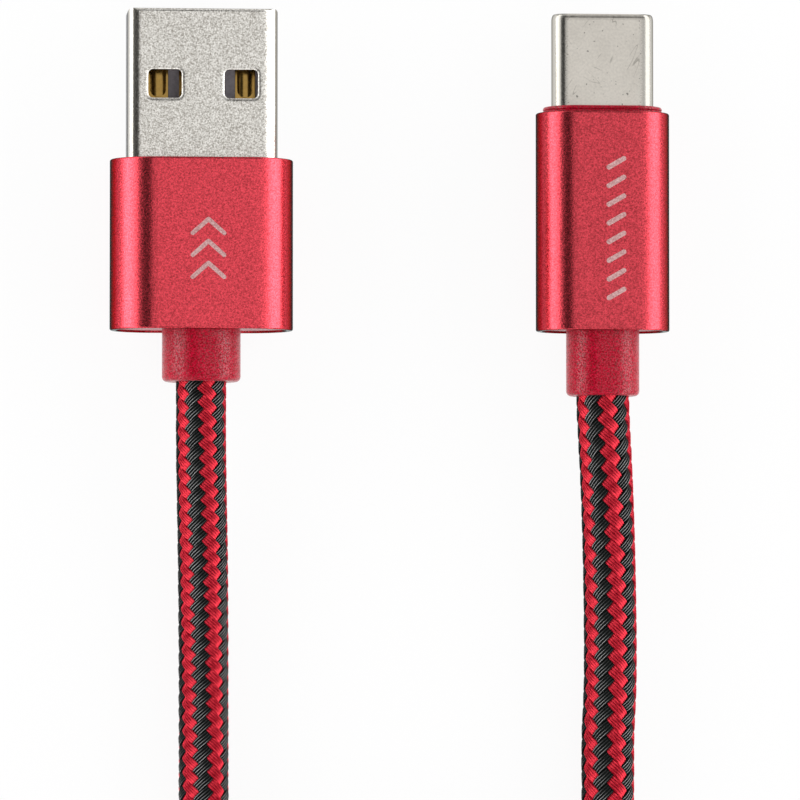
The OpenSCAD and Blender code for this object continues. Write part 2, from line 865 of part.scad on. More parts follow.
module usb_c_jacket_end() {
    color("DimGray") on_c() pipe(jacket_diameter, jacket_bore, c_jacket_front, c_neck_end);
}

// ---------------------------------------------------------------- cord

// Free stretches: out of each neck, down to the table and on to the coil
run_a = [
    [a_x, a_rear_y, a_axis_height], [a_x, a_rear_y - 3, a_axis_height], [-15.2, -21, 3.6],
    [-15.05, -27, 3], [-14.93, -34, 2.3], [-14.9, -40, table_z],
    [a_join_x, join_y + 5, table_z], [a_join_x, join_y, table_z]
];
run_c = [
    [c_x, c_rear_y, c_axis_height], [c_x + 0.05, c_rear_y - 2, c_axis_height], [17.45, -21, 3.1],
    [17.72, -27, 2.6], [17.88, -34, 2.2], [17.85, -40, table_z],
    [c_join_x, join_y + 5, table_z], [c_join_x, join_y, table_z]
];

// Radius of the spiral: in at a steady rate, back out at the same rate, turning in the middle
function coil_r(angle) =
    let (inward = min(angle, turn_degrees - angle))
    coil_radius - coil_step * inward / 360;
function coil_z(angle) =
    low_z + coil_rise * ease(min(max((angle - spiral_degrees) / 180, 0), 1));
function coil_point(angle) =
    let (
        turned = coil_start_angle + angle,
        r = coil_r(angle)
    )
    [coil_x + r * cos(turned), coil_y + r * sin(turned), coil_z(angle)];

// The bends between the straight ends and the spiral
entry = coil_point(0);
leave = coil_point(turn_degrees);
entry_bend = (a_join_x - entry[0]) / (1 - cos(coil_start_angle - 90));
entry_points = [
    for (i = [0:3])
        let (a = (180 - coil_start_angle) * i / 4)
        [
            a_join_x - entry_bend * (1 - cos(a)),
            entry[1] + entry_bend * (sin(180 - coil_start_angle) - sin(a)),
            table_z + (low_z - table_z) * ease(i / 4)
        ]
];
leave_bend = 20;
leave_straight = (leave[0] - c_join_x - leave_bend * (1 - cos(coil_end_angle))) / sin(coil_end_angle);
leave_length = leave_straight + leave_bend * PI * coil_end_angle / 180;
leave_points = [
    for (i = [1:5])
        let (
            s = leave_length * i / 5,
            a = coil_end_angle - max(0, s - leave_straight) / leave_bend * 180 / PI,
            along = min(s, leave_straight)
        )
        [
            leave[0] - along * sin(coil_end_angle) - leave_bend * (cos(a) - cos(coil_end_angle)),
            leave[1] + along * cos(coil_end_angle) + leave_bend * (sin(coil_end_angle) - sin(a)),
            high_z + (table_z - high_z) * ease(i / 5)
        ]
];
coil_route = concat(
    [[a_join_x, join_y, table_z]],
    entry_points,
    [for (i = [0:coil_steps]) coil_point(turn_degrees * i / coil_steps)],
    leave_points,
    [[c_join_x, join_y, table_z]]
);

// Least gap of the coil to itself: each point to each stretch that is not its neighbour
function to_stretch(p, a, b) =
    let (
        way = b - a,
        t = min(max((p - a) * way / (way * way), 0), 1)
    )
    norm(p - a - t * way);
coil_gap = min([
    for (i = [0:len(coil_route) - 1], j = [0:len(coil_route) - 2])
        if (abs(i - j) > 5) to_stretch(coil_route[i], coil_route[j], coil_route[j + 1])
]) - cord_diameter;
coil_length = [
    for (i = 1, s = 0; i <= len(coil_route); s = s + norm(
        coil_route[min(i, len(coil_route) - 1)] - coil_route[i - 1]
    ), i = i + 1) s
];
echo(coil_gap = coil_gap, coil_length = coil_length[len(coil_length) - 1]);

module cord_run_usb_a() {
    color("DarkRed") swept(run_a, cord_diameter, 10, 18);
}

module cord_coil() {
    color("Maroon") swept(coil_route, cord_diameter, 6, 30);
}

// A strap round the bundle, where the loops lie two deep
module coil_tie() {
    first = 360 + tie_angle - coil_start_angle;
    innermost = coil_r(first + 360 * floor((spiral_degrees - first) / 360)) - cord_radius;
    outermost = coil_r(turn_degrees - 360 - coil_end_angle + tie_angle) + cord_radius;
    inside = sqrt(innermost * innermost - tie_width * tie_width / 4) - tie_slack;
    outside = outermost + tie_slack;
    height = coil_rise + cord_diameter;
    color("Black") translate([coil_x - tie_width / 2, coil_y, tie_thickness + height / 2])
        rotate([90, 0, 90]) linear_extrude(height = tie_width)
        translate([(inside + outside) / 2, 0]) difference() {
            rounded2d(
                outside - inside + 2 * tie_thickness, height + 2 * tie_thickness,
                cord_radius + tie_thickness
            );
            rounded2d(outside - inside, height, cord_radius);
        }
}

module cord_run_usb_c() {
    color("DarkRed") swept(run_c, cord_diameter, 10, 18);
}

usb_a_shell();
usb_a_insulator();
usb_a_contact_vbus();
usb_a_contact_data_minus();
usb_a_contact_data_plus();
usb_a_contact_ground();
usb_a_solder_joints();
usb_a_wire_red();
usb_a_wire_white();
usb_a_wire_green();
usb_a_wire_black();
usb_a_inner_mould();
usb_a_strain_relief();
usb_a_housing();
usb_a_braid_end();
usb_a_jacket_end();
usb_c_shell();
usb_c_insulator();
usb_c_contacts_upper();
usb_c_contacts_lower();
usb_c_latch();
usb_c_ground_springs();
usb_c_circuit_board();
usb_c_resistor();
usb_c_solder_joints();
usb_c_wire_red();
usb_c_wire_white();
usb_c_wire_green();
usb_c_wire_black();
usb_c_inner_mould();
usb_c_strain_relief();
usb_c_housing();
usb_c_braid_end();
usb_c_jacket_end();
cord_run_usb_a();
cord_coil();
coil_tie();
cord_run_usb_c();
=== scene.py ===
"""A charging cable with anodised plug housings and a two-colour braided cord, laid flat."""
import math

import bmesh
import bpy
import numpy as np
from mathutils import Matrix, Vector


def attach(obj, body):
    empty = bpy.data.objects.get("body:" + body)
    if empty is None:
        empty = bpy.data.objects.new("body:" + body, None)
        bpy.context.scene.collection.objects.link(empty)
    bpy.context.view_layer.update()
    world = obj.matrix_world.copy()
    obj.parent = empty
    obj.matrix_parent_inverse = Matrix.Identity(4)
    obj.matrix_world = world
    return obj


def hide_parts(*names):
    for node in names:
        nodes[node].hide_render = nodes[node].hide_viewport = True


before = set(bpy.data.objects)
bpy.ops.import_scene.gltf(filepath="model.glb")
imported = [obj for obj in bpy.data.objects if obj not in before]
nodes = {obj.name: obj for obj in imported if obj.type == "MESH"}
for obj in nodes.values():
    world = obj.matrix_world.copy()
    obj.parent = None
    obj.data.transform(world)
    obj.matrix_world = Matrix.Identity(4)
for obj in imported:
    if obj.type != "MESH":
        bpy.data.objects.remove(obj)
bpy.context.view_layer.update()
MM = 0.001

# The plugs' places and sizes, in millimetres: the middle of each plug across the cable, the height of
# its axis and of its top, and how far its neck ends behind its tip
TIP_Y = 15.4
A_X, A_HEIGHT, A_TOP, A_NECK_END = -15.225, 3.7, 7.4, 29.8
C_X, C_HEIGHT, C_TOP, C_NECK_END = 17.175, 3.2, 6.4, 30.8
A_REAR, C_REAR = TIP_Y - A_NECK_END, TIP_Y - C_NECK_END
# The two windows in the larger shell
WINDOW_WIDE, WINDOW_LONG, WINDOW_CORNER = 2.7, 2.3, 0.4
WINDOW_APART, WINDOW_Y = 6.1, 9.35
# How thick the cord is over its braid, and the tie round its coil
CORD, TIE = 4.1, 0.6


# ------------------------------------------------------------------ camera

VIEW_CENTRE = Vector((0.72, -15.8, 4.0)) * MM
VIEW_WIDTH = 64.15 * MM
VIEW_DISTANCE = 0.55
VIEW_FROM_LEFT, VIEW_FROM_FOOT = math.radians(5), math.radians(2.6)
SENSOR = 36
camera = bpy.data.objects.new("camera", bpy.data.cameras.new("camera"))
bpy.context.scene.collection.objects.link(camera)
bpy.context.scene.camera = camera
camera.data.sensor_width = SENSOR
camera.data.lens = SENSOR * VIEW_DISTANCE / VIEW_WIDTH
camera.data.clip_start, camera.data.clip_end = 0.05, 100
back = Vector((-math.tan(VIEW_FROM_LEFT), -math.tan(VIEW_FROM_FOOT), 1)).normalized()
eye = VIEW_CENTRE + back * VIEW_DISTANCE
across = Vector((0, 1, 0)).cross(back).normalized()
up = back.cross(across)
camera.matrix_world = Matrix.Translation(eye) @ Matrix((across, up, back)).transposed().to_4x4()


# ------------------------------------------------------------------ the cord's route

# Millimetres and degrees. The cord spirals in on the lower layer, climbs in half a turn and spirals
# out again on the upper one.
JOIN_Y, A_JOIN_X, C_JOIN_X = -47.0, -14.9, 17.7
COIL_X, COIL_Y, COIL_RADIUS, COIL_STEP, COIL_RISE = 0.0, -84.0, 28.5, 4.7, 4.6
COIL_START, COIL_END, WHOLE_TURNS, RING_ANGLE = 135.0, 30.0, 7, 15
TURN = WHOLE_TURNS * 360 + COIL_END - COIL_START
SPIRAL = (TURN - 180) / 2
LEAVE_BEND = 20.0
TABLE = CORD / 2
LOW = TIE + TABLE
HIGH = LOW + COIL_RISE


def ease(t):
    return t * t * (3 - 2 * t)


def loop_point(angle):
    """A place in the coil, by the degrees turned through since its start."""
    turned = math.radians(COIL_START + angle)
    r = COIL_RADIUS - COIL_STEP * min(angle, TURN - angle) / 360
    z = LOW + COIL_RISE * ease(min(max((angle - SPIRAL) / 180, 0), 1))
    return (COIL_X + r * math.cos(turned), COIL_Y + r * math.sin(turned), z)


def entry_points():
    """From the straight run of the first plug round into the coil."""
    first, points = loop_point(0), 4
    whole = math.radians(180 - COIL_START)
    bend = (A_JOIN_X - first[0]) / (1 - math.cos(whole))
    for i in range(points):
        a = whole * i / points
        y = first[1] + bend * (math.sin(whole) - math.sin(a))
        yield (A_JOIN_X - bend * (1 - math.cos(a)), y, TABLE + (LOW - TABLE) * ease(i / points))


def leave_points():
    """Off the upper layer, straight and then bent, down to the run of the second plug."""
    last, points, tilt = loop_point(TURN), 5, math.radians(COIL_END)
    straight = (last[0] - C_JOIN_X - LEAVE_BEND * (1 - math.cos(tilt))) / math.sin(tilt)
    whole = straight + LEAVE_BEND * tilt
    for i in range(1, points + 1):
        s = whole * i / points
        a = tilt - max(0, s - straight) / LEAVE_BEND
        along = min(s, straight)
        x = last[0] - along * math.sin(tilt) - LEAVE_BEND * (math.cos(a) - math.cos(tilt))
        y = last[1] + along * math.cos(tilt) + LEAVE_BEND * (math.sin(tilt) - math.sin(a))
        yield (x, y, HIGH + (TABLE - HIGH) * ease(i / points))


run_a = [
    (A_X, A_REAR, A_HEIGHT), (A_X, A_REAR - 3, A_HEIGHT), (-15.2, -21, 3.6), (-15.05, -27, 3),
    (-14.93, -34, 2.3), (-14.9, -40, TABLE), (A_JOIN_X, JOIN_Y + 5, TABLE), (A_JOIN_X, JOIN_Y, TABLE),
]
run_c = [
    (C_X, C_REAR, C_HEIGHT), (C_X + 0.05, C_REAR - 2, C_HEIGHT), (17.45, -21, 3.1), (17.72, -27, 2.6),
    (17.88, -34, 2.2), (17.85, -40, TABLE), (C_JOIN_X, JOIN_Y + 5, TABLE), (C_JOIN_X, JOIN_Y, TABLE),
]
RINGS = round(TURN / RING_ANGLE)
control = np.array(
    run_a + list(entry_points()) + [loop_point(TURN * i / RINGS) for i in range(RINGS + 1)]
    + list(leave_points()) + run_c[::-1],
    float,
)


def smooth_route(points, pitch, window=17):
    """Evenly spaced points on one smooth curve through the points, which a moving average over an
    odd number of them smooths once more."""
    ends = [2 * points[0] - points[1], *points, 2 * points[-1] - points[-2]]
    dense = []
    for a, b, c, d in zip(ends, ends[1:], ends[2:], ends[3:]):
        t = np.linspace(0, 1, 40, endpoint=False)[:, None]
        l0, l1, l2 = (max(np.linalg.norm(q - p), 1e-6) ** 0.5 for p, q in ((a, b), (b, c), (c, d)))
        m1 = ((b - a) / l0 - (c - a) / (l0 + l1) + (c - b) / l1) * l1
        m2 = ((c - b) / l1 - (d - b) / (l1 + l2) + (d - c) / l2) * l1
        dense.append(
            (2 * t**3 - 3 * t**2 + 1) * b + (t**3 - 2 * t**2 + t) * m1
            + (3 * t**2 - 2 * t**3) * c + (t**3 - t**2) * m2
        )
    dense = np.vstack([*dense, points[-1][None]])
    far = np.concatenate([[0], np.cumsum(np.linalg.norm(np.diff(dense, axis=0), axis=1))])
    even = np.linspace(0, far[-1], int(far[-1] / pitch) + 1)
    line = np.stack([np.interp(even, far, dense[:, k]) for k in range(3)], 1)
    weights = np.hanning(window)
    weights /= weights.sum()
    spare = window // 2
    padded = np.vstack([
        2 * line[0] - line[spare:0:-1], line, 2 * line[-1] - line[-2:-2 - spare:-1]
    ])
    return np.stack([np.convolve(padded[:, k], weights, "valid") for k in range(3)], 1)


route = smooth_route(control, pitch=0.4)
steps = np.linalg.norm(np.diff(route, axis=0), axis=1)
far_along = np.concatenate([[0], np.cumsum(steps)])
LENGTH = float(far_along[-1])
# Directions at each of its points: along it, up from its axis, and to its side
tangent = np.gradient(route, axis=0)
tangent /= np.linalg.norm(tangent, axis=1)[:, None]
over = np.array([0, 0, 1.0]) - tangent * tangent[:, 2:3]
over /= np.linalg.norm(over, axis=1)[:, None]
side = np.cross(tangent, over)


def on_cord(s, angle, radius):
    """Places on the cord: length along it, angle round it from its top, and radius, in millimetres."""
    s_in = np.clip(s, 0, LENGTH)

    def at(values):
        return np.stack([np.interp(s_in, far_along, values[:, k]) for k in range(3)], -1)

    spare = (s - s_in)[..., None]
    out = np.cos(angle)[..., None] * at(over) + np.sin(angle)[..., None] * at(side)
    return at(route) + spare * at(tangent) + radius[..., None] * out


# ------------------------------------------------------------------ finishes

class Signal:
    """A shader socket that sums can be written with."""

    def __init__(self, shading, socket):
        self.shading, self.socket = shading, socket

    def _sum(self, operation, a, b, clamp=False):
        settings = {"operation": operation, "use_clamp": clamp}
        return self.shading.node("ShaderNodeMath", settings, {0: a, 1: b})

    def __add__(self, other):
        return self._sum("ADD", self, other)

    def __radd__(self, other):
        return self._sum("ADD", other, self)

    def __sub__(self, other):
        return self._sum("SUBTRACT", self, other)

    def __rsub__(self, other):
        return self._sum("SUBTRACT", other, self)

    def __mul__(self, other):
        return self._sum("MULTIPLY", self, other)

    def __rmul__(self, other):
        return self._sum("MULTIPLY", other, self)

    def held(self):
        """The value kept between 0 and 1."""
        return self._sum("ADD", self, 0.0, clamp=True)

    def above_zero(self):
        return self._sum("MAXIMUM", self, 0.0)

    def power(self, exponent):
        return self._sum("POWER", self, exponent)

    def fraction(self):
        return self._sum("FRACT", self, 0.0)

    def size(self):
        return self._sum("ABSOLUTE", self, 0.0)


class Shading:
    """A tree of shader nodes in the making."""

    def __init__(self, tree):
        self.tree = tree

    def node(self, kind, settings=None, sockets=None, out=0):
        """Any node: its kind, its settings, the values or signals of its sockets, and its output."""
        made = self.tree.nodes.new(kind)
        for name, value in (settings or {}).items():
            setattr(made, name, value)
        for name, value in (sockets or {}).items():
            if isinstance(value, Signal):
                self.tree.links.new(value.socket, made.inputs[name])
            else:
                made.inputs[name].default_value = value
        return Signal(self, made.outputs[out])

    def spread(self, value, low, high, to_low=0.0, to_high=1.0, ramp="LINEAR"):
        """Turns a range of values into another, and holds it past both ends."""
        sockets = {0: value, 1: low, 2: high, 3: to_low, 4: to_high}
        return self.node("ShaderNodeMapRange", {"clamp": True, "interpolation_type": ramp}, sockets)


class Finish(Shading):
    """A material in the making, with a Principled shader at its end."""

    def __init__(self, name, colour, metallic=0.0, roughness=0.5, **settings):
        self.material = bpy.data.materials.new(name)
        self.material.use_nodes = True
        super().__init__(self.material.node_tree)
        self.shader = self.tree.nodes["Principled BSDF"]
        plain = {"Base Color": (*colour, 1), "Metallic": metallic, "Roughness": roughness}
        for socket, value in {**plain, **settings}.items():
            self.shader.inputs[socket.replace("_", " ")].default_value = value

    def give(self, socket, value):
        self.tree.links.new(value.socket, self.shader.inputs[socket])

    def place(self):
        return self.node("ShaderNodeTexCoord", out="Object")

    def mapped(self, name):
        """Both coordinates of one of the piece's own maps."""
        place = self.node("ShaderNodeUVMap", {"uv_map": name})
        return [self.node("ShaderNodeSeparateXYZ", {}, {0: place}, out=axis) for axis in "XY"]

    def beyond(self, axis, middle):
        """How many millimetres past a plane across one axis."""
        return self.node("ShaderNodeSeparateXYZ", {}, {0: self.place()}, out=axis) * 1000.0 - middle

    def away_from(self, axis, middle):
        return self.beyond(axis, middle).size()

    def past_windows(self, reach):
        """Falls from 1 at the edge of a window in the shell to 0 at a reach in millimetres from it."""
        across = (self.away_from("X", A_X) - WINDOW_APART / 2).size() - (WINDOW_WIDE / 2 - WINDOW_CORNER)
        along = self.away_from("Y", WINDOW_Y) - (WINDOW_LONG / 2 - WINDOW_CORNER)
        corner = across.above_zero().power(2) + along.above_zero().power(2)
        return self.spread(corner.power(0.5), WINDOW_CORNER, WINDOW_CORNER + reach, 1.0, 0.0)

    def stretched(self, vector, scale, shift=(0, 0, 0)):
        return self.node("ShaderNodeMapping", {}, {"Vector": vector, "Scale": scale, "Location": shift})

    def noise(self, vector, scale, detail=2.0, roughness=0.5):
        sockets = {"Vector": vector, "Scale": scale, "Detail": detail, "Roughness": roughness}
        return self.node("ShaderNodeTexNoise", {}, sockets)

    def blend(self, factor, a, b, kind="MIX"):
        """Two colours, mixed by a factor. Inputs 6 and 7 and output 2 are the node's colour sockets."""
        settings = {"data_type": "RGBA", "blend_type": kind}
        return self.node("ShaderNodeMix", settings, {0: factor, 6: a, 7: b}, out=2)

    def bump(self, height, distance, strength=1.0, normal=None):
        sockets = {"Height": height, "Distance": distance, "Strength": strength}
        if normal:
            sockets["Normal"] = normal
        return self.node("ShaderNodeBump", {}, sockets)


DARK_DYE, LIGHT_DYE = (0.37, 0.02, 0.03), (0.97, 0.076, 0.11)


def anodised_red(name, depth, half):
    """Bead-blasted aluminium with a clear red anodic layer, on a housing of half a given height. A
    depth above 1 darkens it throughout as painted shade. The sides carry painted shade, darker
    towards their edges, and are smoother, and the clear layer on them is thinner."""
    f = Finish(
        name, (0.7, 0.028, 0.05), metallic=1.0, roughness=0.26, Specular_Tint=(0, 0, 0, 1),
        Coat_Weight=0.4, Coat_Roughness=0.25,
    )
    # a depth above 1 darkens both colours, as painted shade
    dark, light = [(*[c / depth for c in dye], 1) for dye in (DARK_DYE, LIGHT_DYE)]
    at = f.place()
    blast = f.noise(at, 9000, 1, 0.5)
    pits = f.noise(f.stretched(at, (1, 1, 1), (0.31, 0.17, 0.05)), 6500, 2, 0.7)
    grain = blast * 0.6 + pits * 0.4
    level = f.away_from("Z", half)
    red = f.blend(f.spread(grain, 0.36, 0.64), dark, light)
    painted_side_shade = f.spread(level, 0.3 * half, 0.64 * half, 1.0, 0.0)
    smoother = f.spread(level, 0.3 * half, 0.6 * half, 0.5, 1.0)
    # painted shade: the colour of the sides is multiplied darker towards their edges
    f.give("Base Color", f.blend(painted_side_shade, red, (0.68, 0.7, 0.7, 1), "MULTIPLY"))
    f.give("Coat Weight", f.spread(level, 0.42 * half, 0.66 * half, 0.1, 0.4))
    f.give("Roughness", f.spread(pits, 0.3, 0.7, 0.22, 0.3) * smoother)
    f.give("Normal", f.bump(grain, 0.02 * MM, 0.7))
    return f.material


def nickel_grained():
    """The larger shell: plated sheet with a fine satin grain, smoother at its bends, with painted
    shade darkening its bends and a paler painted reflection on its left side face. The rims of its
    windows and the starts of its bends are rolled over."""
    f = Finish(
        "nickel_grained", (0.66, 0.63, 0.58), metallic=1.0, roughness=0.3, Specular_Tint=(0, 0, 0, 1)
    )
    at = f.place()
    grain = f.noise(at, 9500, 1, 0.5)
    fleck = f.noise(at, 6000, 2, 0.8)
    mixed = grain * 0.6 + fleck * 0.4
    x = f.beyond("X", A_X)
    bend = f.spread(x.size(), 5.1, 5.4)
    plain = f.blend(f.spread(mixed, 0.36, 0.62), (0.36, 0.335, 0.295, 1), (1.0, 0.975, 0.92, 1))
    # painted shade over the bends, and a paler painted reflection on the left side face
    painted_light_and_shade = f.blend(f.spread(x, -5.88, -5.76), (0.88, 0.86, 0.81, 1), (0.52, 0.495, 0.45, 1))
    f.give("Base Color", f.blend(bend, plain, painted_light_and_shade))
    f.give("Roughness", f.spread(fleck, 0.3, 0.7, 0.26, 0.36) * (1.0 - bend * 0.68))
    rims = (1.0 - f.past_windows(0.3).power(2)) * 0.09
    right = f.spread(x, 4.8, 5.6, 0.22, 0.0, "SMOOTHSTEP")
    left = f.spread((x + 5.45).size(), 0.0, 0.5, 0.0, 0.053, "SMOOTHSTEP")
    f.give("Normal", f.bump(mixed, 0.014 * MM, 0.6, f.bump(rims + right + left, MM, 1.0)))
    return f.material


def nickel_satin():
    """The smaller shell: smooth satin plate with short hair scratches and a few specks, a little
    smoother at its bends, with painted shade over the bends and a paler painted reflection outside them."""
    f = Finish(
        "nickel_satin", (0.62, 0.58, 0.53), metallic=1.0, roughness=0.32,
        Specular_Tint=(0.25, 0.25, 0.25, 1),
    )
    at = f.place()
    grain = f.noise(at, 5200, 2, 0.5)
    cloud = f.noise(at, 420, 3)
    plain = f.blend(
        f.spread(grain * 0.6 + cloud * 0.4, 0.36, 0.64), (0.59, 0.555, 0.50, 1), (0.72, 0.68, 0.615, 1)
    )
    for turn, scale in ((0.5, 900), (-0.9, 1200)):
        turned = f.node("ShaderNodeMapping", {}, {"Vector": at, "Rotation": (0, 0, turn)})
        line = f.noise(f.stretched(turned, (1, 0.12, 1)), scale, 1)
        hair = f.spread((line - 0.5).size(), 0.0, 0.006, 1.0, 0.0)
        some = f.spread(f.noise(turned, 520, 1), 0.57, 0.61)
        plain = f.blend(hair * some * 0.8, plain, (0.27, 0.25, 0.22, 1))
    speck = f.spread(f.noise(at, 4200, 0.5), 0.755, 0.785)
    plain = f.blend(speck * 0.8, plain, (0.12, 0.11, 0.1, 1))
    across = f.away_from("X", C_X)
    bend = f.spread(across, 2.85, 3.25)
    # painted shade over the bends, darker towards their outer part, and a paler painted reflection beyond
    # them
    painted_light_and_shade = f.blend(f.spread(across, 3.3, 3.5), (0.38, 0.365, 0.335, 1), (0.31, 0.297, 0.27, 1))
    painted_light_and_shade = f.blend(f.spread(across, 3.68, 3.84), painted_light_and_shade, (0.62, 0.6, 0.55, 1))
    f.give("Base Color", f.blend(bend, plain, painted_light_and_shade))
    f.give("Roughness", f.spread(grain, 0.3, 0.7, 0.28, 0.36) * (1.0 - bend * 0.3))
    f.give("Normal", f.bump(grain, 0.006 * MM, 0.4))
    return f.material


def soft_red():
    """Moulded elastomer of the necks and the collar."""
    f = Finish(
        "soft_red", (0.36, 0.001, 0.02), roughness=0.3, Specular_IOR_Level=0.08,
        Sheen_Weight=0.08, Sheen_Roughness=0.35, Coat_Weight=0.5, Coat_Roughness=0.32,
    )
    at = f.place()
    pores = f.noise(at, 8600, 1, 0.6)
    f.give("Base Color", f.blend(
        f.spread(pores, 0.38, 0.62), (0.19, 0.0, 0.005, 1), (0.47, 0.001, 0.026, 1)
    ))
    f.give("Coat Weight", f.spread(f.noise(at, 7400, 1, 0.6), 0.4, 0.62, 0.05, 0.85))
    f.give("Normal", f.bump(f.noise(at, 9000, 1, 0.6), 0.03 * MM, 1.0))
    return f.material


def moulded(name, colour, roughness=0.5, scale=4000):
    """Moulded plastic or enamel with a fine pored skin."""
    f = Finish(name, colour, roughness=roughness)
    at = f.place()
    pores = f.noise(at, scale, 3)
    dark = (*[0.85 * c for c in colour], 1)
    light = (*[min(1, 1.12 * c) for c in colour], 1)
    f.give("Base Color", f.blend(f.spread(pores, 0.35, 0.65), dark, light))
    f.give("Normal", f.bump(pores, 0.01 * MM, 0.4))
    return f.material


def bright(name, colour, roughness=0.2, scale=3000):
    """Plated or bare metal with a little tarnish."""
    f = Finish(name, colour, metallic=1.0, roughness=roughness)
    at = f.place()
    wear = f.noise(at, scale, 3)
    dark = (*[0.78 * c for c in colour], 1)
    f.give("Base Color", f.blend(f.spread(wear, 0.35, 0.65), dark, (*colour, 1)))
    f.give("Roughness", f.spread(wear, 0.3, 0.7, roughness * 0.8, roughness * 1.3))
    f.give("Normal", f.bump(wear, 0.006 * MM, 0.35))
    return f.material


def yarn(name, dark, light, roughness, streaks, crest_share, level_of, **settings):
    """A braided strand. Its first map runs along it in millimetres and across it in threads. Its
    second says how far it has risen over the strands that it crosses, and on which side of its
    float a place is, which is the side that painted light falls on."""
    f = Finish(name, light, roughness=roughness, **settings)
    along, across = f.mapped("strand")
    rise, painted_light_side = f.mapped("rise")
    here = f.node("ShaderNodeCombineXYZ", {}, {0: along, 1: across * streaks})
    fibres = f.noise(here, 3.2, 3, 0.65)
    drift = f.noise(f.node("ShaderNodeCombineXYZ", {}, {0: along * 0.5, 1: across * 0.4}), 1, 2)
    crest = f.spread((across.fraction() - 0.5).size(), 0.0, crest_share, 1.0, 0.0)
    shade = level_of(f, crest * crest, fibres - 0.5, f.spread(drift, 0.3, 0.7, 0.6, 1.2), rise, painted_light_side)
    f.give("Base Color", f.blend(shade.held(), (*dark, 1), (*light, 1)))
    f.give("Roughness", f.spread(fibres, 0.3, 0.7, roughness * 0.85, roughness * 1.2))
    f.give("Normal", f.bump(fibres, 0.012 * MM, 0.5))
    return f.material


def painted_glint_level(f, crest, fibres, drift, rise, painted_light_side):
    """Painted highlights: pale lines on the filaments of the lit side of a float, gone where it dives."""
    shown = f.spread(rise, -0.05, 0.3) * f.spread(painted_light_side, -0.75, 0.2, 0.12, 1.0)
    return crest * shown * drift * 1.1 + fibres * 0.03


def soft_level(f, crest, fibres, drift, rise, painted_light_side):
    """Streaky yarn with painted light and shade: painted highlight makes the ends of a float paler than its
    top and one side of it paler, and painted shade darkens it where it dives.
    """
    ends = f.spread(rise, 0.3, 1.0, 0.5, 0.0) + f.spread(rise, -0.2, 0.3, -0.7, 0.0)
    return crest * drift * 0.4 + fibres * 3.2 + ends + painted_light_side * 0.22 + 0.06


anodised = anodised_red("anodised_red", 1.0, A_HEIGHT)
elastomer = soft_red()
# darker than bare gold: painted shade for the contacts inside the shell's windows
gold = bright("contact_gold", (0.38, 0.235, 0.065), 0.17)
spring_steel = bright("spring_steel", (0.62, 0.61, 0.59), 0.24)
solder = bright("solder", (0.66, 0.66, 0.66), 0.3)
grey_plastic = moulded("grey_plastic", (0.30, 0.27, 0.30), 0.45)
# the pale colour is for painted highlight lines on the filaments
black_yarn = yarn(
    "black_yarn", (0.004, 0.005, 0.0048), (0.46, 0.46, 0.46), 0.25, 5.0, 0.17, painted_glint_level,
    Specular_IOR_Level=0.04,
)
red_yarn = yarn(
    "red_yarn", (0.16, 0.0, 0.006), (1.0, 0.055, 0.085), 0.5, 3.0, 0.5, soft_level,
    Specular_IOR_Level=0.02,
)

by_node = {
    "usb_a_shell": nickel_grained(),
    # the same anodised red, darkened throughout as painted shade for the dimmer light on this housing
    "usb_c_housing": anodised_red("anodised_red_painted_shade", 1.16, C_HEIGHT),
    "usb_c_shell": nickel_satin(),
    "usb_a_insulator": grey_plastic,
    "usb_c_insulator": grey_plastic,
    "usb_c_latch": spring_steel,
    "usb_c_ground_springs": spring_steel,
    "usb_c_circuit_board": moulded("board_green", (0.02, 0.16, 0.06), 0.35),
    "usb_c_resistor": moulded("resistor_black", (0.03, 0.03, 0.03), 0.4),
    "coil_tie": moulded("tie_black", (0.03, 0.03, 0.035), 0.8, 2500),
}
# dark red-black, as painted shade for what shows between the strands
painted_shade_dark = moulded("braid_painted_shade", (0.02, 0.008, 0.01), 0.6)
by_part = {
    "housing": anodised,
    "strain_relief": elastomer,
    "inner_mould": moulded("mould_ivory", (0.74, 0.7, 0.58), 0.5),
    "braid_end": painted_shade_dark,
    "jacket_end": moulded("jacket_grey", (0.05, 0.05, 0.05), 0.5),
    "solder_joints": solder,
    "wire_red": moulded("wire_red", (0.5, 0.02, 0.02), 0.35),
    "wire_white": moulded("wire_white", (0.75, 0.75, 0.74), 0.35),
    "wire_green": moulded("wire_green", (0.02, 0.3, 0.06), 0.35),
    "wire_black": moulded("wire_black", (0.015, 0.015, 0.015), 0.35),
}
for name, node in nodes.items():
    part = name[len("usb_a_"):]
    finish = by_node.get(name) or by_part.get(part) or (gold if "contact" in name else elastomer)
    node.data.materials.clear()
    node.data.materials.append(finish)


# ------------------------------------------------------------------ pieces

def added(name, data, finish):
    """A mesh or a curve as an object in the scene, with one finish."""
    made = bpy.data.objects.new(name, data)
    bpy.context.scene.collection.objects.link(made)
    data.materials.append(finish)
    return made


def riding(name, data, finish):
    """The same, riding on the cable."""
    made = added(name, data, finish)
    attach(made, "root")
    return made


def mesh_of(name, shape):
    """A mesh in metres from a bmesh in millimetres."""
    shape.transform(Matrix.Scale(MM, 4))
    mesh = bpy.data.meshes.new(name)
    shape.to_mesh(mesh)
    shape.free()
    return mesh


# The braid: ten black strands climb one way and ten red ones the other, over two and under two,
# so that each colour shows in five columns whose edges interlock. Each strand starts a share of a
# step round from its place.
STRANDS = 10
COLUMNS = STRANDS // 2
SHIFT = 0.25
APART = 2 * math.pi / STRANDS
LEAD = 12.0
CLIMB = 2 * math.pi / LEAD
MID_RADIUS, WAVE, TUCK = 1.80, 0.13, 0.15
CORE_RADIUS = 1.62
# How much closer the strands are at the first end and wider apart at the other, and over what length
CLOSER, WIDER, FADE = 0.1, 0.06, 90
# How much fuller the second end is, and the stretch in which it swells, from the end
FULLER, SWELL_START, SWELL_LENGTH = 0.065, 80, 45
